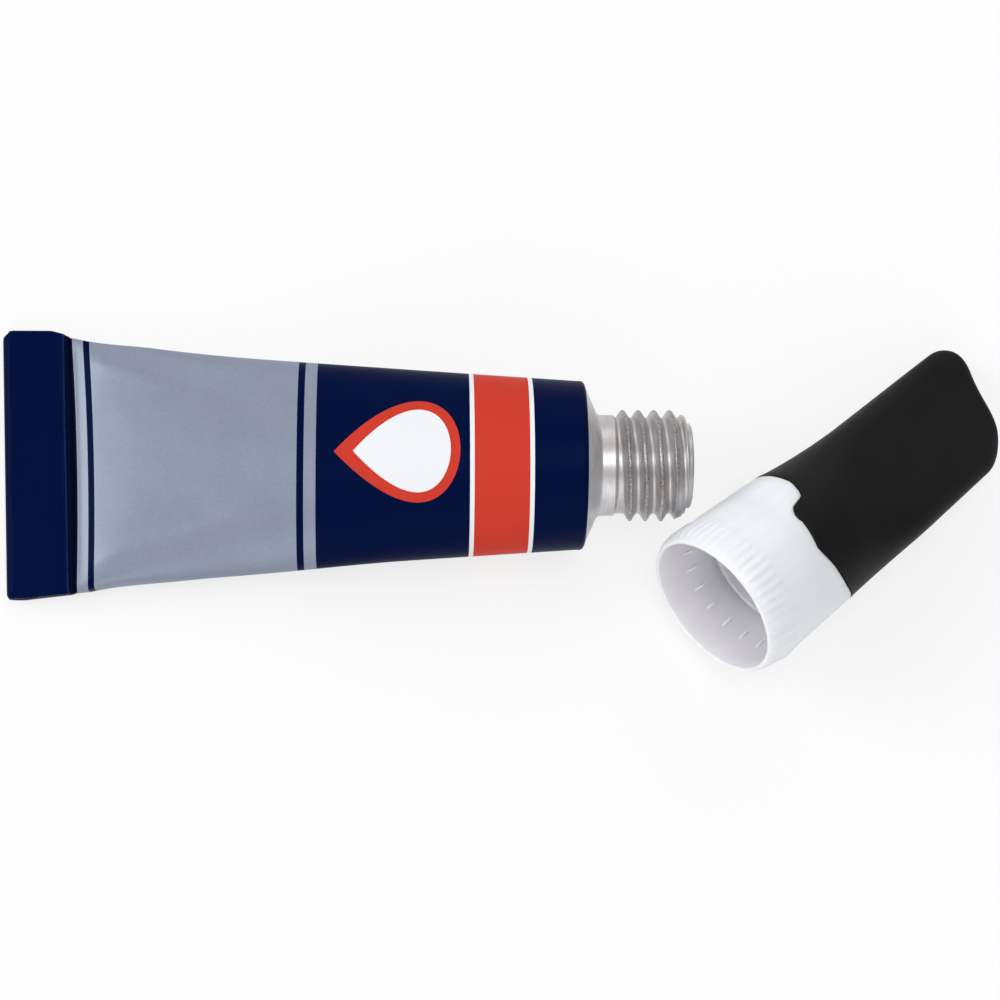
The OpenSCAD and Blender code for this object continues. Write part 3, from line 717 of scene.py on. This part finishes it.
tube_shell = ring_mesh("tube_shell", bent, [ENAMEL, BARE_METAL], TUBE_FRAME,
                       mark=lambda k: 0 if k < print_end else 1, laid=rings)
place_piece(tube_shell, "tube_body", "tube", "tube")

# %% [markdown]
# ## The folded end
#
# The end of the tube is pressed flat, folded over once more and pressed again, so a flap with a soft edge
# lies on the band. A bent strip with a solidify modifier would have the same thickness everywhere. Here a
# section is drawn and repeated in rings across the tube, so that the ends can be pinched. A slow wave keeps
# the pressed edge from being ruler-straight.

# %% Fold's section
BAND_TOP = FOLD_HALF_T + FLAP_T
EDGE_R = 0.3
EDGE_RISE = 0.05


def band_section(x):
    """Outline of the fold in (height along the tube, height above its middle)."""
    end_r = (BAND_TOP + FOLD_HALF_T) / 2
    end_y = (BAND_TOP - FOLD_HALF_T) / 2
    edge = FLAP_Z + 0.03 * math.sin(x * 0.45 + 0.4) + 0.015 * math.sin(x * 1.3)
    points = [(FLAP_Z + 0.5, -FOLD_HALF_T + 0.1)]
    points += [(z, -FOLD_HALF_T) for z in steps(FLAP_Z, end_r + 0.2, 8)]
    for k in range(17):
        a = -math.pi / 2 - math.pi * k / 16
        points.append((end_r + end_r * math.cos(a), end_y + end_r * math.sin(a)))
    points += [(z, BAND_TOP) for z in steps(end_r + 0.2, edge - 1.6, 5)]
    points += [(edge - 1.3, BAND_TOP), (edge - 1.0, BAND_TOP + 0.005), (edge - 0.6, BAND_TOP + 0.03),
               (edge - 0.4, BAND_TOP + EDGE_RISE)]
    for k in range(9):
        a = math.pi / 2 - math.pi / 2 * k / 8
        edge_y = BAND_TOP + EDGE_RISE - EDGE_R + EDGE_R * math.sin(a)
        points.append((edge - EDGE_R + EDGE_R * math.cos(a), edge_y))
    points += [(edge - 0.01, FOLD_HALF_T - 0.1), (FLAP_Z + 0.5, FOLD_HALF_T - 0.15)]
    return points


print("fold", round(BAND_TOP + FOLD_HALF_T, 2), "mm thick,", len(band_section(0)), "points in its section")

# %% [markdown]
# The rings stand closer together at the two ends, where the fold is pinched thinner and its corners are
# rounded, the far one more than the near one.

# %% Folded band
END_GAPS = (0.0, 0.03, 0.08, 0.16, 0.3, 0.5, 0.8)
PINCH_Y = 0.12
PINCHES = ((0.22, 0, 0.16), (0.08, 0.1, 0.8))  # share lost, and from where to where it fades
CORNERS = {1: (0.45, 0.6), -1: (0.15, 0.3)}  # depth and width of the far corner, 1, and the near one, -1
inner = steps(-FOLD_HALF_W + 1.2, FOLD_HALF_W - 1.2, 40)
stations = [e - FOLD_HALF_W for e in END_GAPS] + inner + [FOLD_HALF_W - e for e in reversed(END_GAPS)]
rings = []
for x in stations:
    edge = FOLD_HALF_W - abs(x)
    thin = 1 - sum(lost * (1 - smooth(edge, low, high)) for lost, low, high in PINCHES)
    depth, width = CORNERS[1 if x > 0 else -1]
    corner = depth * (1 - smooth(edge, 0, width))
    ring = []
    for z, y in band_section(x):
        across = x * fold_half_width(z, x) / FOLD_HALF_W
        ring.append((across, PINCH_Y + (y - PINCH_Y) * thin, z + corner * max(0, 1 - z / 2)))
    rings.append(ring)
bent = [[askew(p) for p in ring] for ring in rings]
fold_band = ring_mesh("fold_band", bent, [ENAMEL], TUBE_FRAME, laid=rings)
place_piece(fold_band, "tube_body", "tube")

# %% [markdown]
# ## The glue
#
# The tube lies on its side, so the glue fills it from the table up to one level and leaves air above it in
# the round part. A boolean could cut it from the sleeve, but leaves untidy faces. Its rings are those of
# the sleeve, drawn in past the wall and cut off at the level. Each begins at the far side, where the cut
# begins if the level is that low, so that the skin isn't twisted.

# %% Glue
LEVEL = 4.2
GLUE_GAP = 0.1
GLUE_ENDS = (8, 44.5)


def glue_ring(z):
    """Ring of the glue, with its surface level on the table."""
    top = (LEVEL - TUBE_PLACE.z - z * math.sin(TUBE_PITCH)) / math.cos(TUBE_PITCH)
    ring = sleeve_ring(z, WALL + GLUE_GAP)
    cut = []
    for p, q in zip(ring, ring[1:] + ring[:1]):
        if p[1] <= top:
            cut.append(p[:2])
        if (p[1] - top) * (q[1] - top) < 0:
            cut.append((p[0] + (q[0] - p[0]) * (top - p[1]) / (q[1] - p[1]), top))
    if top < 0:
        cut = cut[-1:] + cut[:-1]
    return [askew((x, y, z)) for x, y in even(cut, RING_N)]


glue_piece = ring_mesh("glue_filling", [glue_ring(z) for z in steps(*GLUE_ENDS, 50)], [GLUE], TUBE_FRAME)
place_piece(glue_piece, "tube_body", "adhesive", "adhesive")

# %% [markdown]
# ## The membrane
#
# A foil closed the neck until the nozzle's spike went through it. The torn edge is bent inwards and uneven.
# A cloth simulation could tear it, but two waves of unlike length round the edge look as torn at this size.

# %% Pierced foil
FOIL_T = 0.08
FOIL_R = 2.92
TORN_R = 1.72
TORN_DROP = 0.35
FOIL_PARTS = (0.0, 0.12, 0.35, 0.7, 1.0)


def foil_ring(part, thick):
    """Ring of the foil at a part of the way from the torn edge to the rim."""
    ring = []
    for a in TURN:
        torn = TORN_R + 0.12 * math.sin(5 * a + 0.6) + 0.08 * math.sin(11 * a)
        r = torn + (FOIL_R - torn) * part
        drop = TORN_DROP * (1 - part) ** 3 * (1 + 0.3 * math.sin(5 * a))
        ring.append((r * math.cos(a), r * math.sin(a), FOIL_SEAT_Z + 0.01 + thick - drop))
    return ring


rings = [foil_ring(part, 0.0) for part in FOIL_PARTS]
rings += [foil_ring(part, FOIL_T) for part in reversed(FOIL_PARTS)]
membrane = ring_mesh("pierced_foil", rings, [FOIL], TUBE_FRAME, loop=True)
place_piece(membrane, "tube_body", "neck_membrane", "neck_membrane")

# %% [markdown]
# ## The nozzle
#
# The edge between the nozzle's collar and the cap isn't level: it drops steeply twice a turn and climbs
# slowly back, so that cap and nozzle turn together. Both pieces read one list of places along half a turn,
# so that they always fit each other.

# %% Edge between collar and cap
# Angle round the axis in degrees and height in mm, over half a turn.
EDGE_POINTS = ((0, 10.25), (33, 10.2), (47, 10.2), (54, 10.0), (60, 9.78), (63.5, 9.55), (64.6, 9.3),
               (66.9, 8.23), (69.7, 7.95), (73.4, 7.72), (78, 7.68), (80, 7.78), (85, 7.74), (92.8, 7.63),
               (102.6, 7.44), (109.6, 7.66), (116.5, 7.94), (123.4, 8.2), (132.6, 8.49), (145, 8.97),
               (163, 9.89), (172, 10.2), (180, 10.25))


def edge_height(a):
    """Height of the edge between collar and cap at an angle."""
    return on_line(EDGE_POINTS, math.degrees(a) % 180)


print("edge runs from", min(z for a, z in EDGE_POINTS), "to", max(z for a, z in EDGE_POINTS), "mm")

# %% [markdown]
# The collar widens towards a thin mouth and is ribbed there for the fingers. The ribs could be separate
# bars, but moulded ones have no seam, so they are a soft tooth added to the radius. Lying on the table,
# collar and skirt also stand out a little more on one side than a true circle.

# %% Collar
SKIRT_Z = 10.4
SKIRT_R = 6.0
WIDEST_Z = 1.4
WIDEST_R = 6.38
MOUTH_DRAW = 0.23
GRIP_COUNT = 56
GRIP_H = 0.085
GRIP_ENDS = (0.25, 0.6, 2.5, 3.2)
NEAR_BULGE = 0.055
FAR_DRAW = 0.01
NOZZLE_N = GRIP_COUNT * 6
NOZZLE_TURN = [2 * math.pi * i / NOZZLE_N for i in range(NOZZLE_N)]


def collar_radius(a, z):
    """Outer radius of the collar, with its grip ribs."""
    if z > WIDEST_Z:
        body = WIDEST_R - (WIDEST_R - SKIRT_R) * (z - WIDEST_Z) / (SKIRT_Z - WIDEST_Z)
    else:
        body = WIDEST_R - MOUTH_DRAW * ((WIDEST_Z - z) / WIDEST_Z) ** 2
    tooth = 0.5 + 0.5 * math.cos(GRIP_COUNT * a)
    return body + GRIP_H * swell(z, GRIP_ENDS) * smooth(tooth, 0.25, 0.75)


def settled(point):
    """A point of the collar or the skirt, which stand out a little on the near side."""
    x, y, z = point
    reach = NEAR_BULGE * smooth(z, 0.6, 3) if x < 0 else -FAR_DRAW * smooth(z, 8, SKIRT_Z)
    return x * (1 + reach * smooth(math.hypot(x, y), 5.0, 5.5)), y, z


def nozzle_ring(radius, height):
    """A ring whose radius and height may each be a number or a function of the angle."""
    ring = []
    for a in NOZZLE_TURN:
        z = height(a) if callable(height) else height
        r = radius(a, z) if callable(radius) else radius
        ring.append(settled((r * math.cos(a), r * math.sin(a), z)))
    return ring


print("collar", GRIP_COUNT, "ribs, widest radius", round(collar_radius(0, WIDEST_Z), 2), "mm")

# %% [markdown]
# Inside is a threaded socket with the hollow spike on its floor, and at the other end a spigot and the
# dispensing tip go into the cap. All of it is again one row of rings, which runs from the spike out over
# the mouth and on to the tip, and back through the channel. The inside of the mouth gets a greyer finish,
# which is painted shade.

# %% Nozzle
SPIGOT_R = 5.1
SPIGOT_Z = 11.4
SOCKET_R = 4.57
SOCKET_FLOOR_Z = 8.6
SOCKET_TURN = math.radians(253 - 6.17)
SOCKET_RIDGE = 0.6
SOCKET_RIDGE_ENDS = (5.65, 5.95, 7.75, 8.05)
WALL_TOP_R = 5.5
WALL_TOP_Z = 6.75
WALL_MOUTH_R = 5.85
EDGE_CHAMFER = 0.06
GRIP_END_Z = 3.4


def socket_radius(a, z):
    """Inner radius of the socket, with the ridge that runs between the neck's turns."""
    centre = nearest_turn(a, z, THREAD_START + PITCH / 2 - SLEEVE_L - 0.8, SOCKET_TURN)
    ridge = swell(centre, SOCKET_RIDGE_ENDS) * (1 - smooth(abs(z - centre), 0.08, 0.42))
    return SOCKET_R - SOCKET_RIDGE * ridge


def collar_height(share):
    """Height on the collar at a share of the way from its grip to its edge, as a function of the angle."""
    return lambda a: GRIP_END_Z + (edge_height(a) - EDGE_CHAMFER - GRIP_END_Z) * share


spike = ((0.45, 5.75), (0.75, 5.7), (0.82, 5.8), (1.39, SOCKET_FLOOR_Z), (4.5, SOCKET_FLOOR_Z))
socket_rim = ((4.62, 5.4), (4.95, 5.4), (5.0, 5.45), (5.0, WALL_TOP_Z), (5.05, 6.8), (5.45, 6.8),
              (WALL_TOP_R, WALL_TOP_Z))
mouth = ((5.88, 0.04), (5.95, 0.0), (6.06, 0.0), (6.13, 0.05))
tip = ((SPIGOT_R, 10.9), (SPIGOT_R, SPIGOT_Z - 0.1), (5.0, SPIGOT_Z), (2.95, SPIGOT_Z), (2.8, SPIGOT_Z + 0.1),
       (1.14, 23.55), (1.04, 23.78), (0.6, 23.8), (0.45, 23.7))
rings = [nozzle_ring(r, z) for r, z in spike]
rings += [nozzle_ring(socket_radius, z) for z in steps(8.55, 5.45, 50)]
rings += [nozzle_ring(r, z) for r, z in socket_rim]
for z in steps(6.5, 0.12, 12):
    rings.append(nozzle_ring(WALL_MOUTH_R + (WALL_TOP_R - WALL_MOUTH_R) * z / WALL_TOP_Z, z))
rim = len(rings)
rings += [nozzle_ring(r, z) for r, z in mouth]
rings += [nozzle_ring(collar_radius, z) for z in steps(0.15, GRIP_END_Z, 26)]
rings += [nozzle_ring(collar_radius, collar_height(share)) for share in steps(0.06, 1, 22)]
rings.append(nozzle_ring(lambda a, z: collar_radius(a, z) - EDGE_CHAMFER, edge_height))
rings.append(nozzle_ring(SPIGOT_R, edge_height))
rings += [nozzle_ring(r, z) for r, z in tip]
# The rings inside the mouth, before its rim, get the painted shade.
nozzle_piece = ring_mesh("nozzle_moulding", rings, [POLYETHYLENE, INSIDE_PAINTED_SHADE], CAP_FRAME, loop=True,
                         mark=lambda k: 1 if k < rim - 1 else 0)
place_piece(nozzle_piece, "nozzle_body", "nozzle", "nozzle")

# %% [markdown]
# Thin ribs hold the socket in the collar, and only their ends show inside the mouth as small ticks, made
# pale with painted light. So only these ends are drawn: flat plates with one outline, set round the axis and
# sunk in the wall.

# %% Ribs between the socket and the collar
BRACE_COUNT = 20
BRACE_HALF_T = 0.09
BRACE_OUTLINE = ((5.52, 3.5), (5.73, 2.7), (5.84, 2.8), (5.78, 4.0), (5.63, 4.0))
verts, faces = [], []
n = len(BRACE_OUTLINE)
for k in range(BRACE_COUNT):
    turn = Matrix.Rotation(2 * math.pi * k / BRACE_COUNT, 4, "Z")
    first = len(verts)
    for y in (-BRACE_HALF_T, BRACE_HALF_T):
        verts += [settled(turn @ Vector((r, y, z))) for r, z in BRACE_OUTLINE]
    faces.append(tuple(range(first, first + n)))
    faces.append(tuple(reversed(range(first + n, first + 2 * n))))
    for i in range(n):
        j = (i + 1) % n
        faces.append((first + i, first + n + i, first + n + j, first + j))
nozzle_ribs = skin("nozzle_ribs", verts, verts, faces, [0] * len(faces), [PAINTED_LIGHT_RIB], CAP_FRAME)
nozzle_ribs.data.polygons.foreach_set("use_smooth", [False] * len(faces))
place_piece(nozzle_ribs, "nozzle_body", "nozzle")

# %% [markdown]
# ## The cap
#
# The skirt is round and flush with the collar. Above it the cap flattens to a blade for the fingers, a
# little narrower than the skirt, with soft edges. One corner of its end is rounder than the other, and the
# end is slightly askew and bulges a little. A subdivided box could give such a blade, but not a skirt that
# follows the collar's edge, so each ring is a rounded rectangle between a circle and the blade's section.

# %% Cap's section
CAP_N = 288
CAP_TURN = [2 * math.pi * i / CAP_N for i in range(CAP_N)]
CAP_END = 33.02
BLADE_HALF_T = 1.1
BLADE_POWER = 0.36
EASE_L = 2
END_SLANT = 0.18
END_BULGE = 0.35
CORNER_R = {1: 2.6, -1: 4.3}
# Half widths of the cap by height, on its far side, 1, and its near side, -1.
SIDES = {1: ((10.4, 5.94), (12, 5.7), (14, 5.47), (16, 5.3), (18, 5.21), (22, 5.22), (28, 5.26),
             (34, 5.27)),
         -1: ((10.4, 6.33), (12, 6.25), (14, 6.15), (16, 6.06), (18, 5.98), (22, 5.81), (26, 5.65),
              (34, 5.4))}


def cap_ring(z, shrink=0.0, share=1.0):
    """Ring of the cap's outside at a height, drawn in by shrink and then made smaller by share.

    The upper side leaves the skirt in a soft curve, and the lower side, which lies on the table, in a line.
    """
    rise = max(0, z - SKIRT_Z)
    eased = rise * rise / (2 * EASE_L) if rise < EASE_L else rise - EASE_L / 2
    upper = SKIRT_R + (BLADE_HALF_T - SKIRT_R) * eased / (CAP_END - SKIRT_Z - EASE_L / 2)
    lower = SKIRT_R + (BLADE_HALF_T - SKIRT_R) * rise / (CAP_END - SKIRT_Z)
    power = 1 + smooth(z, SKIRT_Z, 20) * (BLADE_POWER - 1)
    ring = []
    for a in CAP_TURN:
        c, s = math.cos(a), math.sin(a)
        side = 1 if c > 0 else -1
        r = CORNER_R[side]
        past = max(0, z - (CAP_END - r))
        wide = on_line(SIDES[side], z) - r + math.sqrt(max(0, r * r - past * past))
        x = math.copysign(abs(c) ** power, c) * (wide - shrink) * share
        y = math.copysign(abs(s) ** power, s) * ((upper if s > 0 else lower) - shrink) * share
        bulge = END_BULGE * math.exp(-((x - 3) / 1.6) ** 2) * smooth(z, 28, CAP_END)
        ring.append((x, y, z + END_SLANT * x * smooth(z, 24, CAP_END) + bulge))
    return ring


print("blade is", round(sum(on_line(SIDES[side], CAP_END) for side in (1, -1)), 1), "mm wide")

# %% [markdown]
# The row starts in the bore that takes the tip, turns round the skirt's edge with a small gap to the
# collar, and climbs the outside to the blade's end, where rings on a quarter circle round the edge off.

# %% Cap
CAP_BORE_R = 5.18
CAP_BORE_Z = 11.4
EDGE_GAP = 0.1
BLADE_EDGE = 0.8
EDGE_STEPS = 8


def bore_wall_ring(share):
    """Ring of the bore at a share of the way from the skirt's edge to the bore's shoulder."""
    ring = []
    for a in CAP_TURN:
        z = edge_height(a) + EDGE_GAP
        ring.append((CAP_BORE_R * math.cos(a), CAP_BORE_R * math.sin(a), z + (CAP_BORE_Z - z) * share))
    return ring


def skirt_ring(inset, share):
    """Ring of the skirt between its edge and its top, drawn in from the outside."""
    ring = []
    for a in CAP_TURN:
        z = edge_height(a) + EDGE_GAP
        z += (SKIRT_Z + 0.2 - z) * share
        r = collar_radius(a, z) if z < SKIRT_Z else SKIRT_R
        ring.append(settled(((r - inset) * math.cos(a), (r - inset) * math.sin(a), z)))
    return ring


bore = ((1.6, 24.8), (1.6, 23.8), (3.3, CAP_BORE_Z + 0.1), (5.1, CAP_BORE_Z + 0.1),
        (CAP_BORE_R, CAP_BORE_Z + 0.02))
rings = [turned_ring(r, z, CAP_TURN) for r, z in bore]
rings += [bore_wall_ring(share) for share in (0.6, 0.3, 0.0)]
rings += [skirt_ring(0.05, 0.0)] + [skirt_ring(0.0, share) for share in steps(0.03, 1.0, 12)]
rings += [cap_ring(z) for z in steps(SKIRT_Z + 0.6, CAP_END - 3.2, 44)]
rings += [cap_ring(z) for z in steps(CAP_END - 3.1, CAP_END - BLADE_EDGE, 14)]
for k in range(1, EDGE_STEPS + 1):
    a = math.pi / 2 * k / EDGE_STEPS
    rings.append(cap_ring(CAP_END - BLADE_EDGE * (1 - math.sin(a)), BLADE_EDGE * (1 - math.cos(a))))
rings += [cap_ring(CAP_END, BLADE_EDGE, share) for share in (0.75, 0.4)]
cap_piece = ring_mesh("cap_moulding", rings, [BLACK_PLASTIC], CAP_FRAME)
place_piece(cap_piece, "cap_body", "cap", "cap")

# %% [markdown]
# ## Pieces that keep their solids
#
# The seal in the fold and the pin are hidden inside, and their solids already have the right shape, so they
# only get a finish.

# %% Finishes for the solids
for name, material in (("fold_seal", SEAL_LATEX), ("clog_pin", STEEL)):
    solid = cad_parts[name]
    solid.data.materials.clear()
    solid.data.materials.append(material)
    print(name, "finished with", material.name)

# %% [markdown]
# ## Table, light and camera
#
# The photograph has an even, pale light and a white ground. The floor is a plain pale sheet. More light
# would turn it white and bleach the object too, so most of its brightness is its own to the eye, and the
# rest of it keeps a soft shadow.

# %% Floor
FLOOR_REACH = 2.0
FLOOR_Z = -0.12 * MM  # just under the lowest points of the pieces
FLOOR_GLOW = 0.75


def pale_floor():
    """Plain pale sheet that glows to the eye and keeps a soft shadow."""
    made = bpy.data.materials.new("pale_sheet")
    made.use_nodes = True
    tree = made.node_tree
    tree.nodes.clear()
    matte = node(tree, "BsdfDiffuse", {"Color": linear("#F4F4F4")})
    glow = node(tree, "Emission", {"Color": linear("#FFFFFF"), "Strength": 1.0})
    path = node(tree, "LightPath").outputs
    seen = path["Is Camera Ray"]
    for ray in ("Is Glossy Ray", "Is Transmission Ray"):
        seen = node(tree, "Math", {"operation": "MAXIMUM"}, i0=seen, i1=path[ray]).outputs[0]
    seen = node(tree, "Math", {"operation": "MULTIPLY", 1: FLOOR_GLOW}, i0=seen).outputs[0]
    mixed = node(tree, "MixShader", i0=seen, i1=matte.outputs[0], i2=glow.outputs[0])
    node(tree, "OutputMaterial", Surface=mixed.outputs[0])
    return made


floor_mesh = bpy.data.meshes.new("floor")
corners = [(FLOOR_REACH * x, FLOOR_REACH * y, FLOOR_Z) for x, y in ((-1, -1), (1, -1), (1, 1), (-1, 1))]
floor_mesh.from_pydata(corners, [], [(0, 1, 2, 3)])
floor_mesh.materials.append(pale_floor())
floor = bpy.data.objects.new("floor", floor_mesh)
bpy.context.scene.collection.objects.link(floor)
print("floor at", round(FLOOR_Z / MM, 2), "mm")

# %% [markdown]
# A soft lamp above, three from the sides and a pale world light the pieces evenly. The world is brighter at
# the horizon than overhead, as in a pale room, and shows white to the camera past the floor's edge.

# %% Light
# Name, place in metres, side in metres and power in watts.
LAMPS = (("top_lamp", (-0.02, 0.01, 0.5), 0.24, 0.9), ("left_lamp", (-0.52, 0.1, 0.28), 0.25, 1.5),
         ("far_lamp", (0.05, 0.45, 0.3), 0.4, 0.7), ("near_lamp", (-0.05, -0.6, 0.3), 0.6, 1.6))
HORIZON_LIGHT = 0.42
ZENITH_LIGHT = 0.22

for name, place, size, power in LAMPS:
    lamp = bpy.data.lights.new(name, "AREA")
    lamp.size = size
    lamp.energy = power
    lamp_object = bpy.data.objects.new(name, lamp)
    lamp_object.location = place
    lamp_object.rotation_euler = (-Vector(place)).to_track_quat("-Z", "Y").to_euler()
    bpy.context.scene.collection.objects.link(lamp_object)
world = bpy.data.worlds.new("pale_room")
bpy.context.scene.world = world
world.use_nodes = True
room = world.node_tree
sky_up = node(room, "SeparateXYZ", i0=node(room, "TexCoord").outputs["Generated"]).outputs[2]
sky_light = node(room, "MapRange", {1: 0.0, 2: 1.0, 3: HORIZON_LIGHT, 4: ZENITH_LIGHT}, i0=sky_up).outputs[0]
sky_seen = node(room, "LightPath").outputs["Is Camera Ray"]
sky_shown = node(room, "Math", {"operation": "MAXIMUM"}, i0=sky_light, i1=sky_seen).outputs[0]
sky = room.nodes["Background"]
sky.inputs["Color"].default_value = linear("#FFFFFF")
room.links.new(sky_shown, sky.inputs["Strength"])
bpy.context.scene.view_settings.view_transform = "Standard"
print(len(LAMPS), "lamps")

# %% [markdown]
# The camera looks down steeply from the side of the folded end. Its place and lens follow the perspective
# of the photograph.

# %% Camera
CAMERA_TARGET = Vector((-2.5512, -0.8311, 6.2383))
CAMERA_DISTANCE = 200.0
LENS = 90.72
TILT_X = math.radians(9.8438)
TILT_Y = math.radians(12.0485)
ROLL = math.radians(-0.2866)
turn = Matrix.Rotation(-TILT_X, 3, "Y") @ Matrix.Rotation(TILT_Y, 3, "X") @ Matrix.Rotation(ROLL, 3, "Z")
camera_data = bpy.data.cameras.new("camera")
camera_data.lens = LENS
camera_data.clip_start = 0.005
camera = bpy.data.objects.new("camera", camera_data)
camera_place = (CAMERA_TARGET + turn.col[2] * CAMERA_DISTANCE) * MM
camera.matrix_world = Matrix.Translation(camera_place) @ turn.to_4x4()
bpy.context.scene.collection.objects.link(camera)
bpy.context.scene.camera = camera
print("camera at", [round(v / MM, 1) for v in camera.location], "mm")

# %% [markdown]
# Last, the view layer is brought up to date.

# %% Bringing the scene up to date
bpy.context.view_layer.update()
